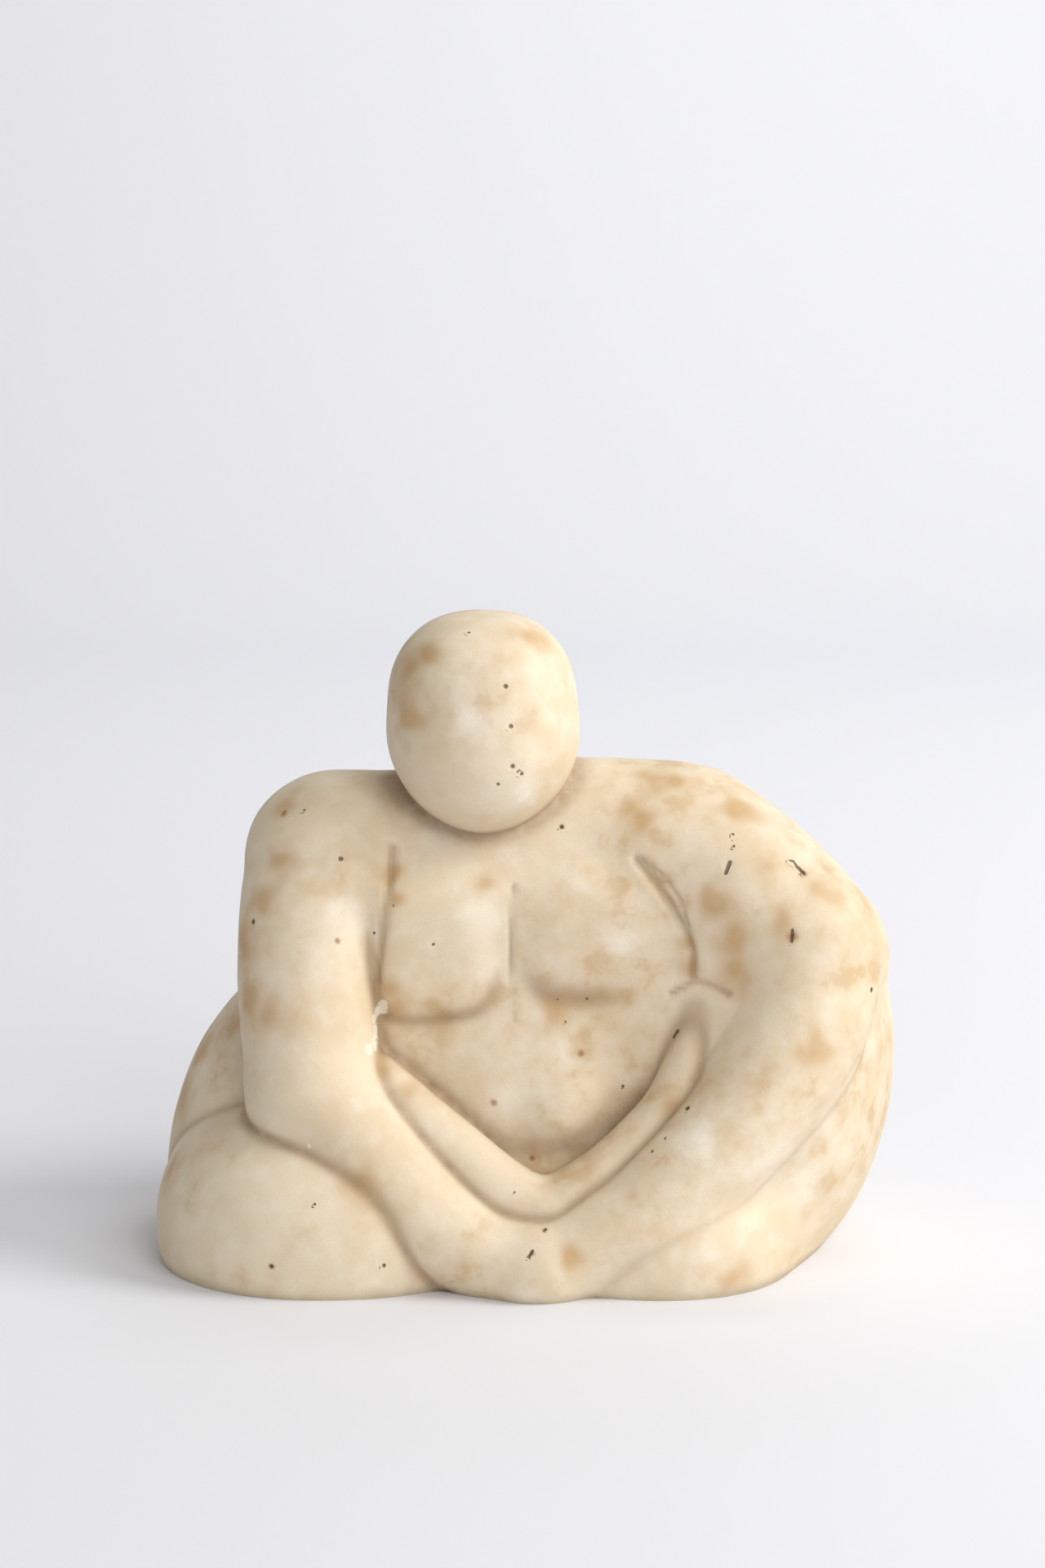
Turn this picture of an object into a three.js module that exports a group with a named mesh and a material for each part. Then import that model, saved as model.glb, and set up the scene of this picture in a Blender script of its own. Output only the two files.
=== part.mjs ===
// Seated stone figure: one carved block of cream stone, a cross-legged sitter with a smooth bowed
// head, broad shoulders and both arms reaching down over the crossed shins.
// Millimetres. x runs to the right as the figure is seen from the front, y to its back and z up
// from the flat underside. Every form is a smooth solid, and the forms melt into each other.

import * as THREE from 'three';

// Rounded lumps: middle, half sizes and squareness, where 2 is an egg and 4 is nearly a cushion
const CRANIUM = { at: [-13.5, -5, 186], half: [31.5, 34, 31], square: 2.3 };
const JAW = { at: [-12.5, -12, 170], half: [27, 27, 26], square: 1.9 };
const TORSO = { at: [-4, 14, 76], half: [80, 40, 78], square: 2.3 };
const BACK_LEFT = { at: [-34, 20, 84], half: [52, 42, 68], square: 2.2 };
const BACK_RIGHT = { at: [32, 18, 86], half: [54, 44, 68], square: 2.2 };
const CHEST_LEFT = { at: [-29, -3, 105], half: [26, 28, 27], square: 3.6 };
const CHEST_RIGHT = { at: [24, -3, 107], half: [32, 27, 27], square: 3.2 };
const STOMACH = { at: [2, 0, 53], half: [54, 35, 48], square: 2.2 };
const BELLY = { at: [13, -16, 53], half: [16, 22, 17], square: 2 };
const HIP_LEFT = { at: [-66, 18, 14], half: [57, 48, 82], square: 2 };
const KNEE_LEFT = { at: [-65, -10, 11], half: [59, 60, 45], square: 2.2 };
const HIP_RIGHT = { at: [61, 15, 66], half: [65, 48, 84], square: 2 };
const THIGH_RIGHT = { at: [80, 2, 57], half: [41, 51, 67], square: 2 };
const KNEE_RIGHT = { at: [46, -12, 8], half: [48, 58, 38], square: 2.2 };
const SEAT_LEFT = { at: [-38, 26, 20], half: [48, 42, 40], square: 2.3 };
const SEAT_RIGHT = { at: [40, 24, 22], half: [52, 42, 42], square: 2.3 };
const LAP = { at: [-4, 2, 8], half: [86, 60, 30], square: 2.6 };

// Limbs: the stations that the middle line passes through, each with the limb's radius there
const SHOULDERS = [[-60, 6, 135, 22], [-22, 8, 139, 23], [24, 7, 140, 25], [56, 5, 133, 24]];
const UPPER_ARM_LEFT = [[-68, 3, 129, 26], [-70, -8, 113, 25], [-71, -18, 86, 24], [-69, -28, 59, 22]];
const FOREARM_LEFT = [[-68, -29, 57, 22], [-46, -43, 34, 19.5], [-22, -53, 16, 16.5], [0, -59, 7, 13.5]];
const UPPER_ARM_RIGHT = [[54, 3, 131, 26], [76, -11, 118, 26], [95, -21, 103, 23.5]];
const FOREARM_RIGHT = [
  [95, -21, 103, 23.5], [90, -35, 80, 21.5], [70, -46, 53, 18.5], [42, -54, 27, 16.5], [12, -58, 9, 14],
];
const ELBOW_RIGHT = [[96, -16, 103, 20], [108, -12, 100, 9]];
const INNER_ARM_RIGHT = [[58, 2, 126, 22], [66, -6, 106, 22], [74, -16, 86, 17]];
const SHIN_LEFT = [[-54, -25, 66, 10], [-24, -39, 42, 11], [-5, -46, 28, 11.5], [9, -49, 22, 12]];
const SHIN_RIGHT = [
  [9, -49, 22, 12], [27, -46, 33, 11.5], [42, -42, 46, 11], [53, -37, 60, 11], [61, -27, 85, 10],
];

// How widely neighbouring forms melt together: a crisp crease, a soft valley, a broad slope
const CRISP = 2;
const CREASE = 4;
const VALLEY = 8;
const SOFT = 14;
const BROAD = 20;
// The arm stands free of the chest low down and flows into the shoulder between these heights
const ARMPIT_HEIGHT = 104;
const SHOULDER_HEIGHT = 150;
// The two chest pads end crisply below and fade out between these heights
const PAD_HEIGHT = 90;
const COLLAR_HEIGHT = 132;

// The room round the figure is divided into cubes, and the skin gets one point in each cube it
// passes through
const CUBE = 6.5;
const ROOM = { x: [-136, 136], y: [-86, 80], top: 228 };
const SETTLING_PASSES = 14;
const EASING = 0.5;
const PROBE = 0.02;
const SAMPLES_PER_STRETCH = 8;
const TINY = 1e-6;
const LEAST_SLOPE = 0.3;

const STONE = { color: '#cdb894', roughness: 0.72, metalness: 0 };

// Signed distance to a lump, negative inside: how far the point's scaled radius is from 1,
// divided by how fast that radius grows there
function lump(p, { at, half, square }) {
  const u = Math.abs(p.x - at[0]) / half[0] + TINY;
  const v = Math.abs(p.y - at[1]) / half[1] + TINY;
  const w = Math.abs(p.z - at[2]) / half[2] + TINY;
  const [pu, pv, pw] = [u ** (square - 1), v ** (square - 1), w ** (square - 1)];
  const sum = pu * u + pv * v + pw * w;
  const radius = sum ** (1 / square);
  const pull = Math.sqrt((pu / half[0]) ** 2 + (pv / half[1]) ** 2 + (pw / half[2]) ** 2);
  return (radius - 1) * sum / (pull * radius);
}

// A limb is a round rod with a changing radius along a smooth curve through its stations, kept as
// a chain of short straight rods
class Limb {
  constructor(stations) {
    const curveThrough = (points) => new THREE.CatmullRomCurve3(points, false, 'catmullrom', 0.5);
    const steps = (stations.length - 1) * SAMPLES_PER_STRETCH;
    const middle = curveThrough(stations.map(([x, y, z]) => new THREE.Vector3(x, y, z)));
    const radius = curveThrough(stations.map((station) => new THREE.Vector3(station[3], 0, 0)));
    const points = middle.getPoints(steps);
    const radii = radius.getPoints(steps);
    this.rods = points.slice(1).map((end, i) => {
      const reach = end.clone().sub(points[i]);
      const swell = radii[i + 1].x - radii[i].x;
      return { from: points[i], reach, square: reach.lengthSq(), radius: radii[i].x, swell };
    });
  }

  distance(p) {
    let nearest = Infinity;
    for (const { from, reach, square, radius, swell } of this.rods) {
      const [x, y, z] = [p.x - from.x, p.y - from.y, p.z - from.z];
      const along = (x * reach.x + y * reach.y + z * reach.z) / square;
      const t = Math.min(Math.max(along, 0), 1);
      const [a, b, c] = [x - t * reach.x, y - t * reach.y, z - t * reach.z];
      nearest = Math.min(nearest, Math.sqrt(a * a + b * b + c * c) - radius - t * swell);
    }
    return nearest;
  }
}

// Joins two solids with a rounded valley, as wide as the given melt
function join(a, b, melt) {
  const overlap = Math.max(melt - Math.abs(a - b), 0);
  return Math.min(a, b) - overlap * overlap / (4 * melt);
}

const limbs = {
  shoulders: new Limb(SHOULDERS),
  upperArmLeft: new Limb(UPPER_ARM_LEFT),
  forearmLeft: new Limb(FOREARM_LEFT),
  upperArmRight: new Limb(UPPER_ARM_RIGHT),
  forearmRight: new Limb(FOREARM_RIGHT),
  elbowRight: new Limb(ELBOW_RIGHT),
  innerArmRight: new Limb(INNER_ARM_RIGHT),
  shinLeft: new Limb(SHIN_LEFT),
  shinRight: new Limb(SHIN_RIGHT),
};

function head(p) {
  return join(lump(p, CRANIUM), lump(p, JAW), SOFT);
}

function leftArm(p) {
  return join(limbs.upperArmLeft.distance(p), limbs.forearmLeft.distance(p), VALLEY);
}

function rightArm(p) {
  const bent = join(limbs.upperArmRight.distance(p), limbs.forearmRight.distance(p), VALLEY);
  return join(bent, limbs.elbowRight.distance(p), SOFT);
}

// The trunk with the shoulders, the right arm's broad inner side, the stomach and the chest pads
function trunk(p, rightArmDistance) {
  const back = join(lump(p, BACK_LEFT), lump(p, BACK_RIGHT), BROAD);
  const core = join(join(lump(p, TORSO), back, SOFT), limbs.shoulders.distance(p), SOFT);
  const innerArm = join(rightArmDistance, limbs.innerArmRight.distance(p), SOFT);
  const stomach = join(lump(p, STOMACH), lump(p, BELLY), VALLEY);
  const front = join(join(core, innerArm, VALLEY), stomach, CREASE);
  const fade = THREE.MathUtils.smoothstep(p.z, PAD_HEIGHT, COLLAR_HEIGHT);
  const pads = join(lump(p, CHEST_LEFT), lump(p, CHEST_RIGHT), CRISP + SOFT * fade);
  return join(front, pads, CRISP + SOFT * fade);
}

function legs(p) {
  const left = join(lump(p, HIP_LEFT), lump(p, KNEE_LEFT), CREASE);
  const right = join(join(lump(p, HIP_RIGHT), lump(p, THIGH_RIGHT), SOFT), lump(p, KNEE_RIGHT), SOFT);
  const seat = join(lump(p, SEAT_LEFT), lump(p, SEAT_RIGHT), SOFT);
  return join(join(join(left, right, VALLEY), lump(p, LAP), VALLEY), seat, VALLEY);
}

function shins(p) {
  return join(limbs.shinLeft.distance(p), limbs.shinRight.distance(p), CRISP);
}

// The whole figure, without the cut of its flat underside
function figure(p) {
  const right = rightArm(p);
  const body = join(join(trunk(p, right), legs(p), VALLEY), shins(p), CRISP);
  const shoulder = THREE.MathUtils.smoothstep(p.z, ARMPIT_HEIGHT, SHOULDER_HEIGHT);
  const withArms = join(body, join(leftArm(p), right, SOFT), CRISP + BROAD * shoulder);
  return join(withArms, head(p), CRISP);
}

// Distance and slope of the figure at a point
function feel(p) {
  const value = figure(p);
  const slope = new THREE.Vector3();
  const q = p.clone();
  for (const axis of ['x', 'y', 'z']) {
    q[axis] = p[axis] + PROBE;
    slope[axis] = (figure(q) - value) / PROBE;
    q[axis] = p[axis];
  }
  return { value, slope };
}

// The net of the figure's skin: points in the cubes where the corners aren't all inside or all
// outside, and a square round every cube edge that passes through the skin. The lowest layer of
// corners lies half a cube under the floor and counts as outside, so its points close the underside.
function castNet() {
  const spans = [ROOM.x, ROOM.y, [-CUBE / 2, ROOM.top]];
  const [nx, ny, nz] = spans.map(([from, to]) => Math.ceil((to - from) / CUBE));
  const steps = [1, nx, nx * ny];
  const cornerAt = (n) => new THREE.Vector3(
    spans[0][0] + CUBE * (n % nx),
    spans[1][0] + CUBE * (Math.floor(n / nx) % ny),
    spans[2][0] + CUBE * Math.floor(n / (nx * ny)),
  );
  const inside = Array.from({ length: nx * ny * nz }, (_, n) => n >= nx * ny && figure(cornerAt(n)) < 0);
  const points = [];
  const pointOf = new Map();
  const pointIn = (cube) => {
    if (!pointOf.has(cube)) {
      pointOf.set(cube, points.length);
      points.push(cornerAt(cube).addScalar(CUBE / 2));
    }
    return pointOf.get(cube);
  };
  const squares = [];
  inside.forEach((isInside, n) => steps.forEach((step, axis) => {
    if (n + step >= inside.length || isInside === inside[n + step]) return;
    const [b, c] = [steps[(axis + 1) % 3], steps[(axis + 2) % 3]];
    const round = [n - b - c, n - c, n, n - b].map(pointIn);
    squares.push(isInside ? round : round.reverse());
  }));
  return { points, squares };
}

// The points that share an edge with each point
function neighboursOf({ points, squares }) {
  const sets = points.map(() => new Set());
  for (const corners of squares) {
    corners.forEach((corner, i) => {
      sets[corner].add(corners[(i + 1) % 4]).add(corners[(i + 3) % 4]);
    });
  }
  return sets.map((set) => [...set]);
}

// Draws every point of the net onto the skin and spreads the points evenly over it. Points of the
// underside stay in the floor, those of its rim also on the line where the skin meets the floor.
function settle(points, neighbours, kinds) {
  const middles = neighbours.map((list) => {
    const middle = new THREE.Vector3();
    list.forEach((j) => middle.add(points[j]));
    return middle.divideScalar(list.length);
  });
  points.forEach((p, i) => {
    const shift = middles[i].sub(p).multiplyScalar(EASING);
    if (kinds[i] !== 'free') shift.z = 0;
    if (kinds[i] === 'floor') {
      p.add(shift);
      return;
    }
    const { value, slope } = feel(p);
    if (kinds[i] === 'rim') slope.z = 0;
    const steep = Math.max(slope.lengthSq(), LEAST_SLOPE);
    shift.addScaledVector(slope, -(shift.dot(slope) + value) / steep);
    p.add(shift);
    p.z = Math.max(p.z, 0);
  });
}

// Splits each square along its shorter diagonal
function trianglesOf({ points, squares }) {
  return squares.flatMap(([a, b, c, d]) => {
    const acIsShorter = points[a].distanceTo(points[c]) < points[b].distanceTo(points[d]);
    return acIsShorter ? [a, b, c, a, c, d] : [a, b, d, b, c, d];
  });
}

function carvedFigure() {
  const net = castNet();
  const neighbours = neighboursOf(net);
  const low = net.points.map((p) => Math.abs(p.z) < TINY);
  const kinds = low.map((isLow, i) => {
    if (!isLow) return 'free';
    return neighbours[i].every((j) => low[j]) ? 'floor' : 'rim';
  });
  for (let pass = 0; pass < SETTLING_PASSES; pass += 1) {
    settle(net.points, neighbours, kinds);
  }
  const geometry = new THREE.BufferGeometry().setFromPoints(net.points);
  geometry.setIndex(trianglesOf(net));
  geometry.computeBoundingBox();
  const { min, max } = geometry.boundingBox;
  geometry.translate(-(min.x + max.x) / 2, -(min.y + max.y) / 2, -min.z);
  geometry.computeVertexNormals();
  return geometry;
}

const seatedFigure = new THREE.Mesh(carvedFigure(), new THREE.MeshStandardMaterial(STONE));
seatedFigure.name = 'seated_figure';

const model = new THREE.Group();
model.add(seatedFigure);

export default model;
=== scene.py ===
# %% [markdown]
# # A seated figure in cream stone
#
# This is one block of soft cream stone, carved by hand into a cross-legged sitter: a smooth bowed
# head, two arms that meet over the crossed shins, and a low broad base. This lesson makes the same
# block in Blender. The form is written as one function of space, which tells how far any point is
# from the skin of the stone. A net of squares is laid on that skin, fine marks are cut into it, and
# the colour of old handled stone is mixed from noise and from a few facts about the form itself.
#
# First comes the shared frame: the plain CAD solid that this finished surface stands for.

# %% The shared frame
import math
import bpy
import numpy as np
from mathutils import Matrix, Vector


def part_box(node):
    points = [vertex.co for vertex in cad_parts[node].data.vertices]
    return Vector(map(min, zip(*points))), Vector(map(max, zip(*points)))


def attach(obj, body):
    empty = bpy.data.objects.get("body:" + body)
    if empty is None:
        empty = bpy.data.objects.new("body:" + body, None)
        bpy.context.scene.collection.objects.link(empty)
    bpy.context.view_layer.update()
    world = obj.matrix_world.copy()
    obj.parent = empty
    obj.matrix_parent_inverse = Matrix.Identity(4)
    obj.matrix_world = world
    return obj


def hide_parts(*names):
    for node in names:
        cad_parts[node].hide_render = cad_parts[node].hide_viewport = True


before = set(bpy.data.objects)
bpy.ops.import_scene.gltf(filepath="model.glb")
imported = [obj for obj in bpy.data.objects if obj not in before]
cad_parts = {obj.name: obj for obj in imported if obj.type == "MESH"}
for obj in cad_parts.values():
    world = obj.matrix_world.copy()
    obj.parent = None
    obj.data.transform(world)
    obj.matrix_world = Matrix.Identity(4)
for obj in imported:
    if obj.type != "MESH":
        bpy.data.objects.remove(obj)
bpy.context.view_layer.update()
MM = 0.001

# %% [markdown]
# ## The forms
#
# A carver thinks in rounded masses: a skull, a chest, a thigh. Here each mass is either a lump, which
# is an egg that can be made squarer, or a limb, which is a rod with a changing radius along a smooth
# curve. All sizes are in millimetres, x to the right, y to the back and z up from the underside. They
# are the same sizes as in the CAD solid, so the two surfaces lie on each other.

# %% Sizes of the forms
LUMPS = {  # middle, half sizes, squareness (2 is an egg, 4 nearly a cushion)
    "cranium": ((-13.5, -5, 186), (31.5, 34, 31), 2.3),
    "jaw": ((-12.5, -12, 170), (27, 27, 26), 1.9),
    "torso": ((-4, 14, 76), (80, 40, 78), 2.3),
    "back_left": ((-34, 20, 84), (52, 42, 68), 2.2),
    "back_right": ((32, 18, 86), (54, 44, 68), 2.2),
    "chest_left": ((-29, -3, 105), (26, 28, 27), 3.6),
    "chest_right": ((24, -3, 107), (32, 27, 27), 3.2),
    "stomach": ((2, 0, 53), (54, 35, 48), 2.2),
    "belly": ((13, -16, 53), (16, 22, 17), 2.0),
    "hip_left": ((-66, 18, 14), (57, 48, 82), 2.0),
    "knee_left": ((-65, -10, 11), (59, 60, 45), 2.2),
    "hip_right": ((61, 15, 66), (65, 48, 84), 2.0),
    "thigh_right": ((80, 2, 57), (41, 51, 67), 2.0),
    "knee_right": ((46, -12, 8), (48, 58, 38), 2.2),
    "seat_left": ((-38, 26, 20), (48, 42, 40), 2.3),
    "seat_right": ((40, 24, 22), (52, 42, 42), 2.3),
    "lap": ((-4, 2, 8), (86, 60, 30), 2.6),
}
LIMBS = {  # stations on the middle line: x, y, z and the radius there
    "shoulders": [(-60, 6, 135, 22), (-22, 8, 139, 23), (24, 7, 140, 25), (56, 5, 133, 24)],
    "upper_arm_left": [(-68, 3, 129, 26), (-70, -8, 113, 25), (-71, -18, 86, 24), (-69, -28, 59, 22)],
    "forearm_left": [(-68, -29, 57, 22), (-46, -43, 34, 19.5), (-22, -53, 16, 16.5), (0, -59, 7, 13.5)],
    "upper_arm_right": [(54, 3, 131, 26), (76, -11, 118, 26), (95, -21, 103, 23.5)],
    "forearm_right": [(95, -21, 103, 23.5), (90, -35, 80, 21.5), (70, -46, 53, 18.5),
                      (42, -54, 27, 16.5), (12, -58, 9, 14)],
    "elbow_right": [(96, -16, 103, 20), (108, -12, 100, 9)],
    "inner_arm_right": [(58, 2, 126, 22), (66, -6, 106, 22), (74, -16, 86, 17)],
    "shin_left": [(-54, -25, 66, 10), (-24, -39, 42, 11), (-5, -46, 28, 11.5), (9, -49, 22, 12)],
    "shin_right": [(9, -49, 22, 12), (27, -46, 33, 11.5), (42, -42, 46, 11), (53, -37, 60, 11),
                   (61, -27, 85, 10)],
}
CRISP, CREASE, VALLEY, SOFT, BROAD = 2, 4, 8, 14, 20  # how widely two forms melt together
ARMPIT_HEIGHT, SHOULDER_HEIGHT = 104, 150  # the arms flow into the shoulders between these
PAD_HEIGHT, COLLAR_HEIGHT = 90, 132        # the chest pads fade out between these
print(len(LUMPS), "lumps and", len(LIMBS), "limbs")

# %% [markdown]
# ## Distance to a lump and to a limb
#
# A signed distance is negative inside the stone and positive outside. For a lump it is the scaled
# radius less one, divided by how fast that radius grows. For a limb the nearest point on the middle
# line is found in two steps: a few samples give a first guess, and Newton's method makes it exact.
# Far from a limb the distance to a ball round it will do, which saves most of the work.

# %% Lump and limb
FAR = 26.0  # further from a limb than this, its exact distance no longer matters


def lump(p, name):
    """(s - 1) / slope of s, where s = (|x/a|^n + |y/b|^n + |z/c|^n)^(1/n) about the lump's middle."""
    middle, half, n = LUMPS[name]
    half = np.array(half, np.float32)
    scaled = np.abs((p - np.array(middle, np.float32)) / half) + 1e-6
    powers = scaled ** (n - 1)
    total = (powers * scaled).sum(1)
    radius = total ** (1 / n)
    pull = np.sqrt(((powers / half) ** 2).sum(1))
    return (radius - 1) * total / (pull * radius)


def spans(stations):
    """Cubic coefficients k0 + k1 u + k2 u^2 + k3 u^3 of each stretch of the Catmull-Rom curve."""
    s = np.array(stations, np.float64)
    s = np.vstack([2 * s[0] - s[1], s, 2 * s[-1] - s[-2]])
    a, b, c, d = s[:-3], s[1:-2], s[2:-1], s[3:]
    k = [b, 0.5 * (c - a), a - 2.5 * b + 2 * c - 0.5 * d, 1.5 * (b - c) + 0.5 * (d - a)]
    return np.stack(k).astype(np.float32)


def nearest_on_curve(p, k, guesses=3, rounds=3):
    """|p - c(t)| - r(t) at the t that makes p - c(t) square to the curve, by Newton's method."""
    stretches = k.shape[1]
    best = np.full(len(p), np.inf, np.float32)
    t = np.zeros(len(p), np.float32)
    for i in range(stretches * guesses + 1):
        s = min(i // guesses, stretches - 1)
        u = i / guesses - s
        c = k[0, s] + u * (k[1, s] + u * (k[2, s] + u * k[3, s]))
        gap = np.linalg.norm(p - c[:3], axis=1) - c[3]
        closer = gap < best
        best[closer], t[closer] = gap[closer], i / guesses
    for turn in range(rounds + 1):
        s = np.minimum(t.astype(int), stretches - 1)
        u = (t - s)[:, None]
        k0, k1, k2, k3 = k[0][s], k[1][s], k[2][s], k[3][s]
        c = k0 + u * (k1 + u * (k2 + u * k3))
        away = c[:, :3] - p
        if turn < rounds:
            speed = (k1 + u * (2 * k2 + 3 * u * k3))[:, :3]
            bend = (2 * k2 + 6 * u * k3)[:, :3]
            push = (away * speed).sum(1)
            square = (speed * speed).sum(1)
            stiff = np.maximum(square + (away * bend).sum(1), 0.3 * square)
            t = np.clip(t - np.clip(push / stiff, -0.25, 0.25), 0, stretches).astype(np.float32)
    return np.linalg.norm(away, axis=1) - c[:, 3]


CURVES = {name: spans(stations) for name, stations in LIMBS.items()}


def limb(p, name):
    """Exact near the limb; further off, the distance to a ball that holds the whole limb."""
    stations = np.array(LIMBS[name], np.float32)
    middle = (stations[:, :3].min(0) + stations[:, :3].max(0)) / 2
    reach = (np.linalg.norm(stations[:, :3] - middle, axis=1) + stations[:, 3]).max() + 2
    out = (np.linalg.norm(p - middle, axis=1) - reach).astype(np.float32)
    near = out < FAR
    out[near] = nearest_on_curve(p[near], CURVES[name])
    return out


def blend(a, b, melt):
    """The smaller of two distances, less (melt - |a - b|)^2 / 4 melt where they are close."""
    overlap = np.maximum(melt - np.abs(a - b), 0)
    return np.minimum(a, b) - overlap * overlap / (4 * melt)


def meeting(a, b, whole):
    """|a - b| + how deep both lie: 0 only on the line where these two forms meet on the skin."""
    return np.abs(a - b) + np.maximum(np.minimum(a, b) - whole, 0)


def ramp(x, start, end):
    """0 before start, 1 after end and 3t^2 - 2t^3 between."""
    t = np.clip((x - start) / (end - start), 0, 1)
    return t * t * (3 - 2 * t)


probe = np.array([LUMPS["belly"][0]], np.float32)
print("middle of the belly lies", -lump(probe, "belly")[0], "mm under its own skin")

# %% [markdown]
# ## The whole figure
#
# The masses are joined one by one. Where two of them meet, the melt says whether the carver left a
# crisp line, as round the chin and along the shins, or a long soft slope, as from arm to shoulder.
# The function also hands back how far apart the two partners of each crisp joint are, because that
# number is zero exactly on the line between them, and the line is later cut and darkened with it.

# %% The figure as one function
def figure(p, with_lines=False):
    """Signed distance to the stone, without the cut of its flat underside."""
    p = np.asarray(p, np.float32)
    height = p[:, 2]
    bent = blend(limb(p, "upper_arm_right"), limb(p, "forearm_right"), VALLEY)
    right_arm = blend(bent, limb(p, "elbow_right"), SOFT)
    left_arm = blend(limb(p, "upper_arm_left"), limb(p, "forearm_left"), VALLEY)
    back = blend(lump(p, "back_left"), lump(p, "back_right"), BROAD)
    core = blend(blend(lump(p, "torso"), back, SOFT), limb(p, "shoulders"), SOFT)
    inner_arm = blend(right_arm, limb(p, "inner_arm_right"), SOFT)
    stomach, belly = lump(p, "stomach"), lump(p, "belly")
    front = blend(blend(core, inner_arm, VALLEY), blend(stomach, belly, VALLEY), CREASE)
    fade = ramp(height, PAD_HEIGHT, COLLAR_HEIGHT)
    pad_left, pad_right = lump(p, "chest_left"), lump(p, "chest_right")
    pads = blend(pad_left, pad_right, CRISP + SOFT * fade)
    trunk = blend(front, pads, CRISP + SOFT * fade)
    hip_left, knee_left = lump(p, "hip_left"), lump(p, "knee_left")
    left_leg = blend(hip_left, knee_left, CREASE)
    right_leg = blend(blend(lump(p, "hip_right"), lump(p, "thigh_right"), SOFT), lump(p, "knee_right"), SOFT)
    seat = blend(lump(p, "seat_left"), lump(p, "seat_right"), SOFT)
    legs = blend(blend(blend(left_leg, right_leg, VALLEY), lump(p, "lap"), VALLEY), seat, VALLEY)
    body = blend(trunk, legs, VALLEY)
    shins = blend(limb(p, "shin_left"), limb(p, "shin_right"), CRISP)
    with_shins = blend(body, shins, CRISP)
    arms = blend(left_arm, right_arm, SOFT)
    rise = ramp(height, ARMPIT_HEIGHT, SHOULDER_HEIGHT)
    with_arms = blend(with_shins, arms, CRISP + BROAD * rise)
    head = blend(lump(p, "cranium"), lump(p, "jaw"), SOFT)
    whole = blend(with_arms, head, CRISP)
    if not with_lines:
        return whole
    others = np.minimum.reduce([core, stomach, pads, legs, shins])
    lines = {
        "chin": meeting(with_arms, head, whole),
        "arms": meeting(others, arms, whole) + 8 * rise,
        "shins": meeting(body, shins, whole),
        "pads": meeting(front, pads, whole) + 6 * fade,
        "knee": meeting(hip_left, knee_left, whole),
    }
    return whole, lines


def slope_of(p, value, probe=0.05):
    """The three partial differences (f(p + probe along an axis) - f(p)) / probe."""
    steps = np.eye(3, dtype=np.float32) * probe
    return np.stack([(figure(p + step) - value) / probe for step in steps], 1)


print("top of the head, f =", figure(np.array([[-13.5, -5, 217]]))[0])

# %% [markdown]
# ## A net of squares on the skin
#
# The function says where stone is, and a mesh needs points on its skin. The room round the figure is
# cut into small cubes. Every cube that the skin passes through holds one point, and round every cube
# edge that leaves the stone the four points of its cubes make a square. The lowest cubes straddle the
# floor and close the underside. Then each point slides to the middle of its neighbours, but only
# along the skin, and drops back onto it. Weights draw the points to the front, where the carving is.

# %% Casting the net
ROOM = ((-136, 136), (-86, 80), (0, 228))
CUBE = 4.28
EASING = 0.6
LEAST_SLOPE = 0.3


def fill_pinches(inside):
    """Fills each square of grid corners whose stone would touch only across a diagonal."""
    for axis in (0, 1, 2, 0, 1, 2):
        layers = np.moveaxis(inside, axis, 0)
        corners = [layers[:, :-1, :-1], layers[:, 1:, :-1], layers[:, :-1, 1:], layers[:, 1:, 1:]]
        pinched = (corners[0] == corners[3]) & (corners[1] == corners[2]) & (corners[0] != corners[1])
        for corner in corners:
            corner |= pinched


def cast_net(cube):
    """One point in each cube whose corners differ, a square round each cube edge that ends outside."""
    axes = [np.arange(low, high, cube, dtype=np.float32) for low, high in ROOM]
    axes[2] = axes[2] - cube / 2
    grid = np.stack(np.meshgrid(*axes, indexing="ij"), -1)
    inside = (figure(grid.reshape(-1, 3)) < 0).reshape(grid.shape[:3])
    inside[:, :, 0] = False
    fill_pinches(inside)
    ends = (slice(None, -1), slice(1, None))
    corners = sum(inside[i, j, k].astype(int) for i in ends for j in ends for k in ends)
    mixed = (corners > 0) & (corners < 8)
    number = np.full(mixed.shape, -1)
    number[mixed] = np.arange(mixed.sum())
    points = grid[:-1, :-1, :-1][mixed] + cube / 2
    squares = []
    for axis in range(3):
        turned = (axis, (axis + 1) % 3, (axis + 2) % 3)
        stone, n = inside.transpose(turned), number.transpose(turned)
        low, high = stone[:-1, 1:-1, 1:-1], stone[1:, 1:-1, 1:-1]
        around = np.stack([n[:, :-1, :-1], n[:, 1:, :-1], n[:, 1:, 1:], n[:, :-1, 1:]], -1)
        squares += [around[low & ~high], around[high & ~low][:, ::-1]]
    return points, np.concatenate(squares)


def corner_normals(points, squares):
    """At each point, the sum of (C - A) x (D - B) over its squares ABCD, made one unit long."""
    a, b, c, d = (points[squares[:, i]] for i in range(4))
    face = np.cross(c - a, d - b)
    corner = squares.ravel()
    total = np.stack([np.bincount(corner, np.repeat(face[:, k], 4), len(points)) for k in range(3)], 1)
    return (total / np.linalg.norm(total, axis=1, keepdims=True)).astype(np.float32)


def kinds_of(points, squares):
    """True for points of the underside, and for those of them on its rim."""
    low = np.abs(points[:, 2]) < 1e-4
    start, end = squares.ravel(), np.roll(squares, -1, 1).ravel()
    rim = np.zeros(len(points), bool)
    rim[start[low[start] & ~low[end]]] = True
    rim[end[low[end] & ~low[start]]] = True
    return low, rim


def crowding(points, low):
    """How strongly a point draws its neighbours: most at the front, least on the underside."""
    return np.where(low, 0.5, 1 + 0.8 * ramp(-points[:, 1], -10, 25)).astype(np.float32)


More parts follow.
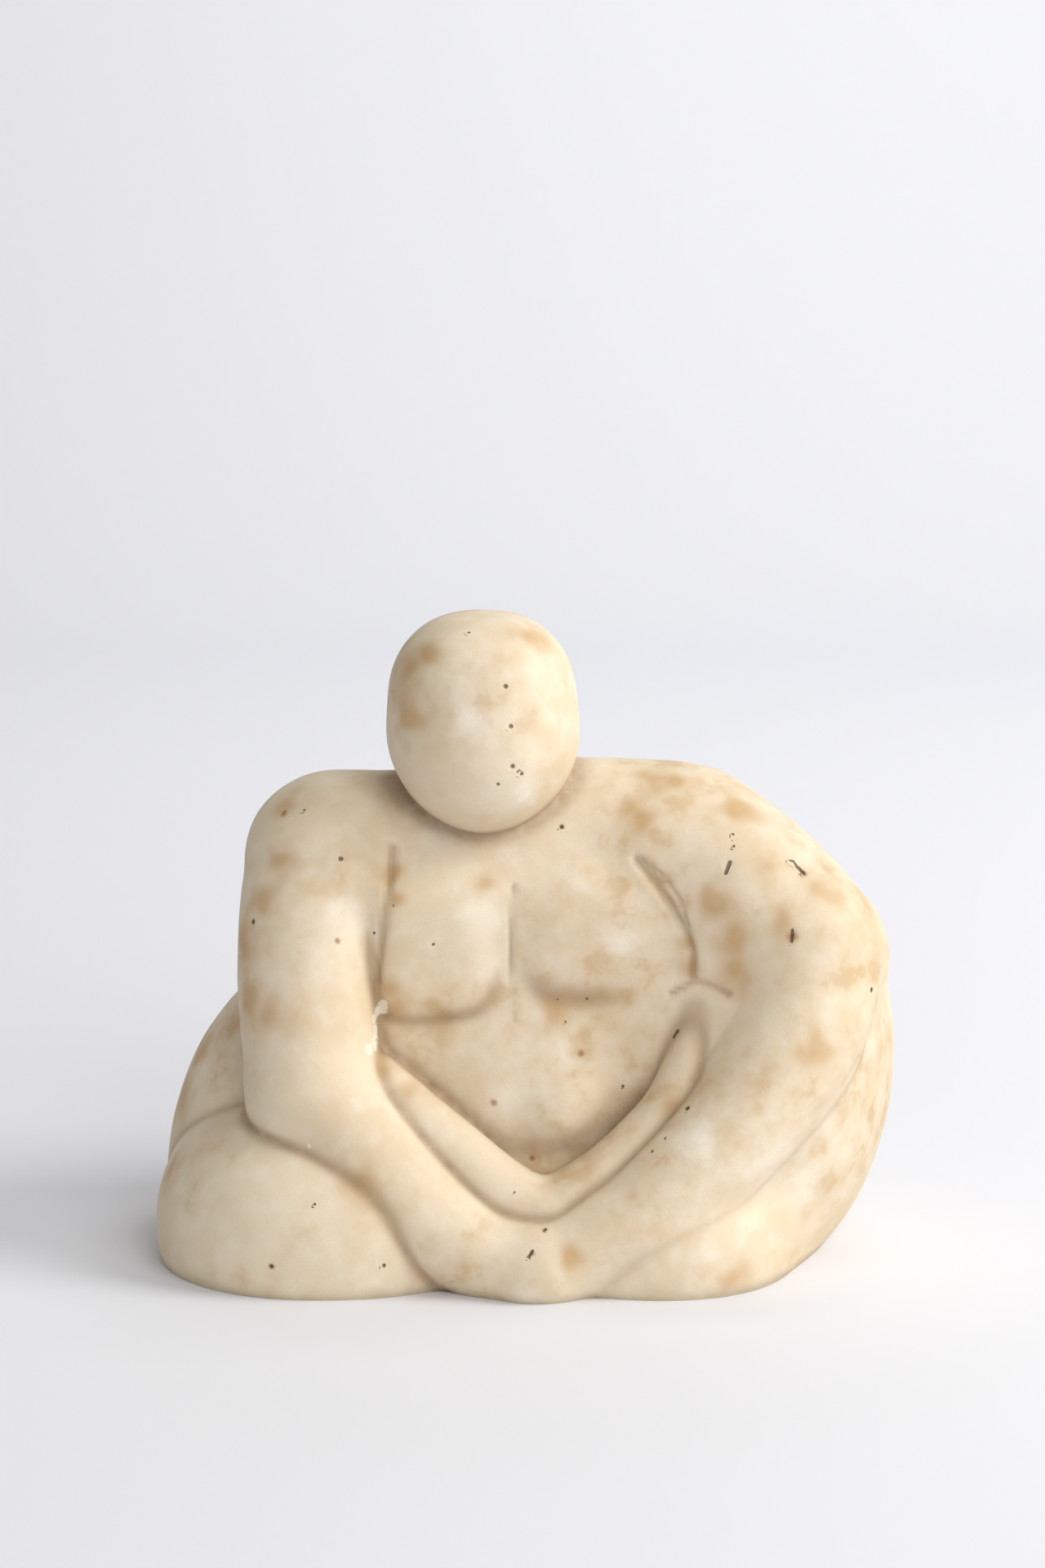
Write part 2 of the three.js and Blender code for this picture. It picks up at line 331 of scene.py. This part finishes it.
def spread(points, squares, turns, exact):
    """Each turn: p + e (m - p) with m the neighbours' weighted mean, less the part that leaves the skin."""
    low, rim = kinds_of(points, squares)
    start, end = squares.ravel(), np.roll(squares, -1, 1).ravel()
    count = len(points)
    for _ in range(turns):
        pull = crowding(points, low)
        total = np.bincount(start, pull[end], count) + np.bincount(end, pull[start], count)
        pulled = points * pull[:, None]
        mean = [np.bincount(start, pulled[end, k], count) + np.bincount(end, pulled[start, k], count)
                for k in range(3)]
        shift = EASING * (np.stack(mean, 1) / total[:, None] - points)
        value = figure(points)
        slope = slope_of(points, value) if exact else corner_normals(points, squares)
        shift[low, 2] = 0
        slope[low, 2] = 0
        slope[low & ~rim] = 0
        steep = np.maximum((slope ** 2).sum(1), LEAST_SLOPE)
        shift -= slope * (((shift * slope).sum(1) + value) / steep)[:, None]
        points = (points + shift).astype(np.float32)
        points[:, 2] = np.maximum(points[:, 2], 0)
    return points


coarse, squares = cast_net(CUBE)
coarse = spread(coarse, squares, turns=12, exact=True)
coarse = spread(coarse, squares, turns=40, exact=False)
print("coarse net:", len(coarse), "points and", len(squares), "squares")

# %% [markdown]
# ## A curved patch in every square
#
# Each square of the net becomes a small patch of nine squares, a function of the two parameters u and
# v that run along its sides. The new points are then drawn onto the skin in their turn, which brings
# out the sharp creases between the forms.

# %% The fine skin
PATCH = 3


def patchwork(points, squares, m):
    """Square ABCD becomes P(u, v) = (1-u)(1-v) A + u(1-v) B + u v C + (1-u) v D on an m by m grid."""
    start, end = squares, np.roll(squares, -1, 1)
    keys = np.minimum(start, end).astype(np.int64) * len(points) + np.maximum(start, end)
    edges, edge = np.unique(keys.ravel(), return_inverse=True)
    edge = edge.reshape(-1, 4)
    steps = np.arange(1, m)
    number = np.empty((len(squares), m + 1, m + 1), int)
    number[:, 0, 0], number[:, m, 0], number[:, m, m], number[:, 0, m] = squares.T
    places = ((steps, 0), (m, steps), (m - steps, m), (0, m - steps))
    for side, (i, j) in enumerate(places):
        order = np.where((start < end)[:, side, None], steps - 1, m - 1 - steps)
        number[:, i, j] = len(points) + edge[:, side, None] * (m - 1) + order
    first = len(points) + len(edges) * (m - 1)
    inner = len(squares) * (m - 1) ** 2
    number[:, 1:m, 1:m] = first + np.arange(inner).reshape(-1, m - 1, m - 1)
    u = np.linspace(0, 1, m + 1, dtype=np.float32)[None, :, None, None]
    v = np.linspace(0, 1, m + 1, dtype=np.float32)[None, None, :, None]
    a, b, c, d = (points[squares[:, i]][:, None, None] for i in range(4))
    patch = (1 - u) * (1 - v) * a + u * (1 - v) * b + u * v * c + (1 - u) * v * d
    fine = np.empty((first + inner, 3), np.float32)
    fine[number.ravel()] = patch.reshape(-1, 3)
    around = [number[:, :-1, :-1], number[:, 1:, :-1], number[:, 1:, 1:], number[:, :-1, 1:]]
    return fine, np.stack(around, -1).reshape(-1, 4)


skin, squares = patchwork(coarse, squares, PATCH)
skin = spread(skin, squares, turns=6, exact=False)
normals = corner_normals(skin, squares)
value, lines = figure(skin, with_lines=True)
low, rim = kinds_of(skin, squares)
print("fine skin:", len(skin), "points,", 2 * len(squares), "triangles")
print("largest distance from the form:", float(np.abs(value[~low]).max()), "mm")

# %% [markdown]
# ## Marks of the chisel and of age
#
# Pits, rusty specks, pale chips, broad stains, spots of painted shade, places worn pale and carved lines
# lie where they are seen from the front, so each is given by its column and row in a picture of 1280 by
# 1920 pixels. A ray from the camera through that pixel is marched forward by the distance to the skin
# until it meets the stone.

# %% The camera's eye, and rays from it onto the stone
PICTURE = (1280, 1920)
LENS_MM, SENSOR_MM = 85.0, 36.0
FOCAL_PX = LENS_MM / SENSOR_MM * PICTURE[1]
EYE = np.array([0.0, -1220.1, 380.7])
LOOK_DOWN = math.radians(10.35)


def on_stone(columns_rows):
    """Eye + t * direction, t growing by f until f is nearly nothing."""
    px = np.atleast_2d(np.array(columns_rows, float))
    right = (px[:, 0] - PICTURE[0] / 2) / FOCAL_PX
    up = (PICTURE[1] / 2 - px[:, 1]) / FOCAL_PX
    forward = np.array([0, math.cos(LOOK_DOWN), -math.sin(LOOK_DOWN)])
    upward = np.array([0, math.sin(LOOK_DOWN), math.cos(LOOK_DOWN)])
    ray = forward + right[:, None] * np.array([1, 0, 0]) + up[:, None] * upward
    ray /= np.linalg.norm(ray, axis=1, keepdims=True)
    t = np.full(len(px), 1050.0)
    for _ in range(60):
        t = np.minimum(t + 0.9 * figure(EYE + t[:, None] * ray), 1500)
    return (EYE + t[:, None] * ray).astype(np.float32)


# column, row, radius in mm
PITS = [(619, 840, 0.9), (626, 889, 0.8), (628, 938, 1.0), (639, 947, 0.8), (610, 960, 0.7), (574, 774, 0.6),
        (417, 1051, 1.0), (310, 1128, 1.0), (458, 1142, 0.6), (372, 991, 0.6), (688, 1012, 0.8),
        (898, 1021, 0.7), (899, 1036, 0.6), (1068, 1212, 1.0), (719, 1223, 0.6), (763, 1330, 0.6),
        (693, 1251, 0.5), (799, 1410, 0.8), (332, 1551, 0.9), (470, 1550, 0.8), (385, 1475, 0.6),
        (552, 1570, 0.6), (668, 1507, 0.6), (842, 1357, 0.8), (815, 1394, 0.6), (482, 1108, 0.5),
        (531, 1156, 0.5), (683, 1223, 0.5), (1010, 1490, 0.5), (630, 1460, 0.4), (500, 760, 0.4)]
# column and row of both ends, radius in mm
LONG_PITS = [((894, 1056), (889, 1069), 0.8), ((829, 1262), (824, 1269), 0.7),
             ((971, 1139), (970, 1153), 0.7), ((967, 1053), (973, 1055), 0.5),
             ((976, 1060), (985, 1069), 0.7), ((652, 1532), (648, 1539), 0.6)]
RUST = [(971, 1147, 2.6), (985, 1069, 1.6), (712, 1290, 1.6), (605, 1350, 1.8), (652, 1418, 1.3),
        (652, 1435, 1.0), (668, 1507, 1.3), (652, 1535, 1.3), (688, 1012, 1.3), (347, 995, 1.8),
        (310, 1128, 1.5), (332, 1551, 1.5), (413, 1152, 1.4), (1068, 1212, 1.4), (842, 1357, 1.3)]
# ochre stains of the stone; the eight spots from (300, 1160) to (900, 1195) are painted shade on the shaded
# left side and on the shaded inner plane of the right arm
STAINS_AND_PAINTED_SHADE = [(506, 813, 8), (520, 800, 6), (647, 780, 7), (484, 1070, 5), (483, 1100, 5), (474, 1212, 6),
          (480, 1232, 6), (596, 1081, 5), (350, 985, 8), (345, 1050, 7), (320, 1100, 7), (831, 958, 8),
          (780, 1000, 7), (900, 990, 8), (960, 1130, 7), (1010, 1090, 8), (940, 1060, 7), (848, 1180, 5),
          (842, 1155, 4), (823, 1353, 5), (712, 1290, 5), (500, 1340, 6), (470, 1310, 5), (330, 1240, 7),
          (540, 1240, 7), (680, 1240, 7), (1000, 1290, 8), (900, 1560, 7), (700, 1540, 6), (440, 1450, 7),
          (300, 1160, 10), (305, 1230, 9), (225, 1340, 10), (245, 1290, 8), (210, 1430, 9), (900, 1150, 9),
          (880, 1105, 8), (900, 1195, 8), (500, 880, 9), (800, 955, 8)]
WORN = [(630, 970, 9), (580, 880, 10), (540, 1030, 8), (590, 1120, 9), (600, 1190, 7), (760, 1160, 9),
        (650, 1330, 12), (690, 1290, 8), (290, 1480, 14), (940, 1430, 12), (990, 1450, 9), (490, 1350, 6),
        (640, 1590, 6), (420, 1130, 9), (850, 1400, 8)]
CHIPS = [(466, 1237, 2.4), (459, 1247, 2.2), (461, 1262, 2.0), (459, 1277, 2.4), (470, 1228, 1.6),
         (378, 1404, 0.9), (452, 1285, 2.0)]
# a carved line through these pixels, radius and depth in mm
CUTS = [
    ([(481, 1036), (477, 1075), (468, 1140), (461, 1200)], 2.2, 1.5),
    ([(780, 1052), (802, 1078), (822, 1108), (838, 1136), (848, 1165), (846, 1195)], 2.4, 1.6),
    ([(786, 1050), (814, 1072), (836, 1104), (845, 1140)], 1.2, 0.7),
    ([(628, 1085), (627, 1130), (627, 1180), (629, 1250)], 1.3, 0.8),
    ([(822, 1216), (850, 1200), (872, 1206), (893, 1217)], 1.8, 1.1),
]
FAR_MARK = 3.0  # further from a mark than this, in its radii or in mm, it no longer counts


def pieces_of(marks):
    """Both ends and the radius of every straight piece; a pit is a piece whose ends are one point."""
    starts = on_stone([mark[0] for mark in marks])
    ends = on_stone([mark[1] for mark in marks])
    return list(zip(starts, ends, [mark[2] for mark in marks]))


def nearest_mark(p, pieces):
    """(p - nearest point of a piece) / radius, its length, and the mm from p to the nearest piece's edge."""
    best = np.full(len(p), FAR_MARK, np.float32)
    edge = np.full(len(p), FAR_MARK, np.float32)
    offset = np.full((len(p), 3), FAR_MARK, np.float32)
    for start, end, radius in pieces:
        reach = end - start
        around = FAR_MARK * (1 + radius) + np.abs(reach).max()
        near = np.flatnonzero(np.abs(p - (start + end) / 2).max(1) < around)
        along = (p[near] - start) @ reach / max(float(reach @ reach), 1e-9)
        gap = (p[near] - start - np.clip(along, 0, 1)[:, None] * reach) / radius
        length = np.linalg.norm(gap, axis=1)
        edge[near] = np.minimum(edge[near], (length - 1) * radius)
        closer = length < best[near]
        best[near[closer]] = length[closer]
        offset[near[closer]] = gap[closer]
    return best, offset, edge


def dots(marks):
    """Round marks: pieces whose two ends are the same pixel."""
    return pieces_of([((c, r), (c, r), radius) for c, r, radius in marks])


def cut_pieces(line, radius):
    """The straight pieces of one carved line."""
    return pieces_of([(a, b, radius) for a, b in zip(line[:-1], line[1:])])


pit_distance, pit_offset, pit_edge = nearest_mark(skin, dots(PITS) + pieces_of(LONG_PITS))
rust_offset, rust_edge = nearest_mark(skin, dots(RUST))[1:]
chip_distance, chip_offset, chip_edge = nearest_mark(skin, dots(CHIPS))
stain_and_painted_shade_distance = nearest_mark(skin, dots(STAINS_AND_PAINTED_SHADE))[0]
worn_distance = nearest_mark(skin, dots(WORN))[0]
cut_distances = [nearest_mark(skin, cut_pieces(line, radius))[0] for line, radius, depth in CUTS]
print(int((pit_distance < 1).sum()), "points in pits,", int((np.min(cut_distances, 0) < 1).sum()), "in cuts")

# %% [markdown]
# ## Uneven by hand
#
# A rasp and sandpaper leave broad hollows that the hand can feel, so the skin gets slow waves of a few
# tenths of a millimetre. Random numbers on a lattice, smoothly interpolated, make them. The crisp lines
# between the forms are cut a little deeper, and so are the carved lines, pits and chips.

# %% Cutting the fine relief
def noise(p, cell, seed):
    """Random numbers from -1 to 1 on a lattice with this spacing in mm, blended by 3t^2 - 2t^3."""
    q = (p + 200) / cell
    low_corner = np.floor(q).astype(int)
    t = q - low_corner
    t = t * t * (3 - 2 * t)
    side = int(440 / cell) + 3
    lattice = np.random.default_rng(seed).uniform(-1, 1, (side, side, side)).astype(np.float32)
    total = np.zeros(len(p), np.float32)
    for i in (0, 1):
        for j in (0, 1):
            for k in (0, 1):
                share = np.prod(np.where((i, j, k), t, 1 - t), axis=1)
                total += share * lattice[tuple((low_corner + (i, j, k)).T)]
    return total


def valley(distance, width):
    """exp(-(d / w)^2), 1 on a line and fading off beside it."""
    return np.exp(-(distance / width) ** 2)


waves = 0.30 * noise(skin, 26, 1) + 0.16 * noise(skin, 11, 2) + 0.05 * noise(skin, 4.5, 3)
depth = 0.6 * valley(lines["chin"], 1.5) + 0.5 * valley(lines["arms"], 1.4)
depth += 0.45 * valley(lines["shins"], 1.4)
depth += 0.35 * valley(lines["pads"], 1.2) + 0.35 * valley(lines["knee"], 1.6)
depth += np.max([cut[2] * np.clip(1 - d ** 2, 0, 1) ** 2 for cut, d in zip(CUTS, cut_distances)], 0)
depth += 0.6 * np.clip(1 - pit_distance ** 2, 0, 1)
depth += 0.3 * np.clip(1 - chip_distance ** 2, 0, 1)
lift = waves - depth
lift[low] = 0
carved = skin + normals * lift[:, None]
carved[:, 2] = np.maximum(carved[:, 2], 0)
carved[low, 2] = 0
print("relief from", round(float(lift.min()), 2), "to", round(float(lift.max()), 2), "mm")

# %% [markdown]
# ## Facts for the colour
#
# The colour follows the form: the hollows are painted brown as shade, and brown dirt lies in the creases.
# How far the skin can see out is measured by stepping off along the normal and asking how far the stone is.
# These facts are kept on the mesh as attributes, so the material can follow the form. The stained places,
# the spots of painted shade and the worn places are kept there too, each as a soft spot that is 1 in its
# middle.

# %% Hollows, creases, stains and painted shade
def openness(reach):
    """f(p + reach * normal) / reach: 1 in the open, less in a hollow."""
    return np.clip(figure(skin + normals * reach) / reach, 0, 1.2)


# how closed in the skin is; the material uses it to paint brown shade into the hollows
hollow = np.clip(1 - 0.5 * openness(5.0) - 0.5 * openness(16.0), 0, 1)
crease = np.maximum.reduce([valley(lines[name], 1.7) for name in ("chin", "shins", "pads", "knee")])
crease = np.maximum(crease, valley(lines["arms"], 2.0))
facts = {
    "hollow": hollow,
    "crease": np.maximum(crease, 0.7 * valley(np.min(cut_distances, 0), 0.6)),
    # stains, and spots of painted shade on the shaded sides
    "stain_and_painted_shade": valley(stain_and_painted_shade_distance + 0.45 * noise(skin, 5, 6), 0.75),
    "worn": valley(worn_distance + 0.45 * noise(skin, 7, 7), 0.8),
    "warmth": np.clip(0.5 + 0.5 * noise(skin, 30, 4) + 0.25 * noise(skin, 12, 5), 0, 1),
    "pit_edge": pit_edge,
    "rust_edge": rust_edge,
    "chip_edge": chip_edge,
}
offsets = {"pit": pit_offset, "rust": rust_offset, "chip": chip_offset}
print("share of hollow skin:", round(float((hollow > 0.4).mean()), 3))

# %% [markdown]
# ## The stone's mesh
#
# The points are moved so that the block stands where the CAD solid stands, and drawn in by a hair so
# that no wave of the skin passes the solid's box. The square faces go into one closed mesh.

# %% Making the mesh
low_corner, high_corner = (np.array(corner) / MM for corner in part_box("seated_figure"))
middle = (carved.min(0) + carved.max(0)) / 2
middle[2] = 0
room = high_corner - low_corner
squeeze = np.minimum(room / (carved.max(0) - carved.min(0)), 1) * 0.9995
placed = (carved - middle) * squeeze + [0, 0, low_corner[2]]

mesh = bpy.data.meshes.new("carved_stone")
mesh.from_pydata((placed * MM).tolist(), [], squares.tolist())
for name, values in facts.items():
    mesh.attributes.new(name, "FLOAT", "POINT").data.foreach_set("value", values.astype(np.float32))
for name, values in offsets.items():
    mesh.attributes.new(name, "FLOAT_VECTOR", "POINT").data.foreach_set("vector", values.ravel())
mesh.polygons.foreach_set("use_smooth", np.ones(len(squares), bool))
mesh.update()
stone = bpy.data.objects.new("carved_stone", mesh)
bpy.context.scene.collection.objects.link(stone)
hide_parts("seated_figure")
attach(stone, "root")
print("squeezed by", squeeze.round(4), "middle", middle.round(2))

# %% [markdown]
# ## Shader maths as plain expressions
#
# A node tree is easier to read as a formula. A Wire is one socket, and + - * / on Wires add the Math
# nodes. Every other node comes from Finish.node, which takes its type, its settings and its inputs.

# %% Wires and finishes
class Wire:
    """A value in a material. Arithmetic on it adds Math nodes."""

    def __init__(self, finish, socket):
        self.finish, self.socket = finish, socket

    def math(self, operation, *values, **settings):
        inputs = dict(enumerate(values))
        return self.finish.node("ShaderNodeMath", {"operation": operation, **settings}, inputs)

    def __add__(self, other):
        return self.math("ADD", self, other)

    __radd__ = __add__

    def __sub__(self, other):
        return self.math("SUBTRACT", self, other)

    def __rsub__(self, other):
        return self.math("SUBTRACT", other, self)

    def __mul__(self, other):
        return self.math("MULTIPLY", self, other)

    __rmul__ = __mul__

    def __truediv__(self, other):
        return self.math("DIVIDE", self, other)

    def __rtruediv__(self, other):
        return self.math("DIVIDE", other, self)

    def __pow__(self, other):
        return self.math("POWER", self, other)

    def clip(self):
        return self.math("ADD", self, 0, use_clamp=True)

    def rise(self, start, end):
        """0 below start, 1 above end, smooth between; start may be the larger one."""
        settings = {"interpolation_type": "SMOOTHSTEP"}
        inputs = {"Value": self, "From Min": start, "From Max": end}
        return self.finish.node("ShaderNodeMapRange", settings, inputs)


class Finish:
    """A material and the nodes in it."""

    def __init__(self, name):
        self.material = bpy.data.materials.new(name)
        self.material.use_nodes = True
        self.tree = self.material.node_tree
        self.shader = self.tree.nodes["Principled BSDF"]

    def node(self, kind, settings=None, inputs=None, output=0):
        made = self.tree.nodes.new(kind)
        for key, value in (settings or {}).items():
            setattr(made, key, value)
        for key, value in (inputs or {}).items():
            self.set(made.inputs[key], value)
        return Wire(self, made.outputs[output])

    def set(self, socket, value):
        if isinstance(value, Wire):
            self.tree.links.new(value.socket, socket)
        else:
            socket.default_value = value

    def attribute(self, name, output="Fac"):
        return self.node("ShaderNodeAttribute", {"attribute_name": name}, output=output)

    def noise(self, size_mm, detail=2.0, roughness=0.5, warp=0.0):
        """Cloudy noise whose clouds are about this many millimetres across."""
        place = self.node("ShaderNodeTexCoord", output="Object")
        inputs = {"Vector": place, "Scale": 1 / (size_mm * MM), "Detail": detail, "Roughness": roughness,
                  "Distortion": warp}
        return self.node("ShaderNodeTexNoise", None, inputs)

    def mix(self, first, second, share):
        """first where share is 0, second where it is 1."""
        inputs = {0: share, 6: first, 7: second}
        return self.node("ShaderNodeMix", {"data_type": "RGBA"}, inputs, output=2)


def paint(red, green, blue):
    """A colour as the eye reads it on a screen, 0 to 255, turned into linear light for the shader."""
    share = [c / 255 for c in (red, green, blue)]
    return [c / 12.92 if c <= 0.04045 else ((c + 0.055) / 1.055) ** 2.4 for c in share] + [1]


print("a pale cream in linear light:", [round(c, 3) for c in paint(236, 222, 196)])

# %% [markdown]
# ## Old cream stone
#
# The stone is a pale cream with broad warm clouds, a fine pepper of darker grains and a whitish bloom
# where the surface was rubbed. Ochre stains lie on the head, shoulders and arms, and brown dirt has settled
# in the creases. The hollows are painted brown as shade, and some ochre spots on the shaded left side and on
# the right arm's inner plane are painted shade too. Rusty specks, chips and pits are drawn with the offsets
# kept on the mesh: the length of an offset is 1 at the mark's edge, and a little noise on it makes that edge
# ragged.

# %% The stone's finish
finish = Finish("cream_stone")
CREAM, PALE, SAND = paint(226, 211, 185), paint(240, 233, 219), paint(208, 185, 148)
OCHRE, BROWN, DARK = paint(188, 146, 88), paint(142, 110, 74), paint(58, 44, 32)
RUSTY = paint(150, 92, 44)

clouds = finish.noise(34, detail=3, roughness=0.5)
blotches = finish.noise(9, detail=3, roughness=0.55)
streaks = finish.noise(4.2, detail=4, roughness=0.7)
grain = finish.noise(0.7, detail=2, roughness=0.6)
hollow_shade_wire = finish.attribute("hollow")
crease_wire = finish.attribute("crease")
warmth = finish.attribute("warmth")


def length_of(name):
    """The length of the offset kept under this name, 1 at a mark's edge, and over 9 away from all marks."""
    offset = finish.attribute(name, output="Vector")
    length = finish.node("ShaderNodeVectorMath", {"operation": "LENGTH"}, {0: offset}, output="Value")
    return length + finish.attribute(name + "_edge").rise(1.2, 1.8) * 9


colour = finish.mix(CREAM, SAND, (clouds.rise(0.42, 0.7) * 0.55 + warmth.rise(0.4, 1.0) * 0.4).clip())
worn = finish.attribute("worn") * clouds.rise(0.25, 0.6)
colour = finish.mix(colour, PALE, (blotches.rise(0.4, 0.85) * 0.45 + worn * 0.6).clip())
colour = finish.mix(colour, OCHRE, (blotches.rise(0.5, 0.3) * warmth.rise(0.3, 0.9) * 0.4).clip())
# ochre stains, and on the shaded sides painted shade
colour = finish.mix(colour, OCHRE, (finish.attribute("stain_and_painted_shade") * (0.35 + blotches * 0.6)).clip())
# painted shade: brown in the hollows, darker the more closed in the skin is
colour = finish.mix(colour, BROWN, (hollow_shade_wire.rise(0.12, 0.8) * 0.45 * (0.5 + streaks)).clip())
colour = finish.mix(colour, BROWN, (crease_wire * (0.25 + blotches * 0.75)).clip())
rust = length_of("rust") + (streaks - 0.5) * 0.9
colour = finish.mix(colour, RUSTY, rust.rise(1.1, 0.2) * 0.7)
chip = length_of("chip") + (streaks - 0.5) * 1.8
colour = finish.mix(colour, PALE, chip.rise(1.0, 0.6) * 0.8)
pit = length_of("pit") + (streaks - 0.5) * 0.8
colour = finish.mix(colour, DARK, pit.rise(1.0, 0.5) * 0.75)
colour = finish.mix(colour, SAND, grain.rise(0.58, 0.75) * 0.35)
finish.set(finish.shader.inputs["Base Color"], colour)
finish.set(finish.shader.inputs["Roughness"], (0.56 + blotches * 0.14 + crease_wire * 0.15).clip())
finish.set(finish.shader.inputs["Specular IOR Level"], 0.35)
relief = grain * 0.06 + streaks * 0.10 + blotches * 0.10 - pit.rise(1.0, 0.3) * 0.6
bump = finish.node("ShaderNodeBump", None, {"Strength": 0.9, "Distance": 1 * MM, "Height": relief})
finish.set(finish.shader.inputs["Normal"], bump)
mesh.materials.append(finish.material)
print("the stone's finish has", len(finish.tree.nodes), "nodes")

# %% [markdown]
# ## Floor and light
#
# The figure stands on a seamless pale sheet that curves up behind it. A large soft lamp hangs to the
# right and above. A weaker one in front lights the chest and hands, a third lights the sheet behind the
# figure, and the pale room fills the shade.

# %% The sheet
SHEET_HALF_WIDTH, SHEET_FRONT, SHEET_BACK, SHEET_TOP, SHEET_BEND = 3.0, -2.2, 1.4, 3.2, 0.8


def sweep(u, v):
    """x = width * u; y and z follow a floor, a quarter circle and a wall as v runs from 0 to 3."""
    turn = np.clip(v - 1, 0, 1) * math.pi / 2
    y = SHEET_FRONT + (SHEET_BACK - SHEET_FRONT) * np.clip(v, 0, 1) + SHEET_BEND * np.sin(turn)
    z = SHEET_BEND * (1 - np.cos(turn)) + (SHEET_TOP - SHEET_BEND) * np.clip(v - 2, 0, 1)
    return np.stack([SHEET_HALF_WIDTH * u, y, z], -1)


u, v = np.meshgrid(np.linspace(-1, 1, 9), np.linspace(0, 3, 97), indexing="ij")
sheet_points = sweep(u, v).reshape(-1, 3)
index = np.arange(u.size).reshape(u.shape)
sheet_faces = np.stack([index[:-1, :-1], index[1:, :-1], index[1:, 1:], index[:-1, 1:]], -1).reshape(-1, 4)
sheet_mesh = bpy.data.meshes.new("floor_sheet")
sheet_mesh.from_pydata(sheet_points.tolist(), [], sheet_faces.tolist())
sheet_mesh.polygons.foreach_set("use_smooth", np.ones(len(sheet_faces), bool))
sheet = bpy.data.objects.new("floor_sheet", sheet_mesh)
bpy.context.scene.collection.objects.link(sheet)
paper = Finish("pale_sheet")
paper.set(paper.shader.inputs["Base Color"], paint(229, 231, 237))
paper.set(paper.shader.inputs["Roughness"], 0.95)
paper.set(paper.shader.inputs["Specular IOR Level"], 0.1)
sheet_mesh.materials.append(paper.material)
print("sheet of", len(sheet_faces), "faces")

# %% Lamps and room light
world = bpy.data.worlds.new("pale_room")
bpy.context.scene.world = world
world.use_nodes = True
world.node_tree.nodes["Background"].inputs["Color"].default_value = (1.0, 0.965, 0.92, 1)
world.node_tree.nodes["Background"].inputs["Strength"].default_value = 0.40


def lamp(name, place, target, size, power, colour):
    """A square soft lamp at a place in metres, facing its target."""
    light = bpy.data.lights.new(name, "AREA")
    light.shape, light.size, light.energy, light.color = "SQUARE", size, power, colour
    made = bpy.data.objects.new(name, light)
    way = np.array(target, float) - np.array(place, float)
    flat = math.hypot(way[0], way[1])
    made.rotation_euler = (math.atan2(flat, -way[2]), 0, math.atan2(way[1], way[0]) - math.pi / 2)
    made.location = place
    bpy.context.scene.collection.objects.link(made)


lamp("window", (1.6, -0.35, 1.25), (0, 0, 0.1), 0.9, 27, (1.0, 0.98, 0.95))
lamp("front_fill", (0.9, -1.7, 1.1), (0, 0, 0.1), 1.2, 18, (1.0, 0.98, 0.95))
lamp("backdrop_lamp", (0.5, 0.7, 1.9), (0.2, 2.2, 0.9), 1.0, 17, (1.0, 0.99, 0.98))
print("three lamps and the room's light")

# %% [markdown]
# ## The camera
#
# The camera stands at the eye that the marks were placed from, moved with the stone, with a long lens.

# %% The camera
lens = bpy.data.cameras.new("camera")
lens.lens, lens.sensor_width = LENS_MM, SENSOR_MM
lens.dof.use_dof = False
camera = bpy.data.objects.new("camera", lens)
camera.location = (EYE - middle) * MM
camera.rotation_euler = (math.pi / 2 - LOOK_DOWN, 0, 0)
bpy.context.scene.collection.objects.link(camera)
bpy.context.scene.camera = camera
bpy.context.scene.view_settings.view_transform = "Standard"
print("camera at", [round(c, 3) for c in camera.location])
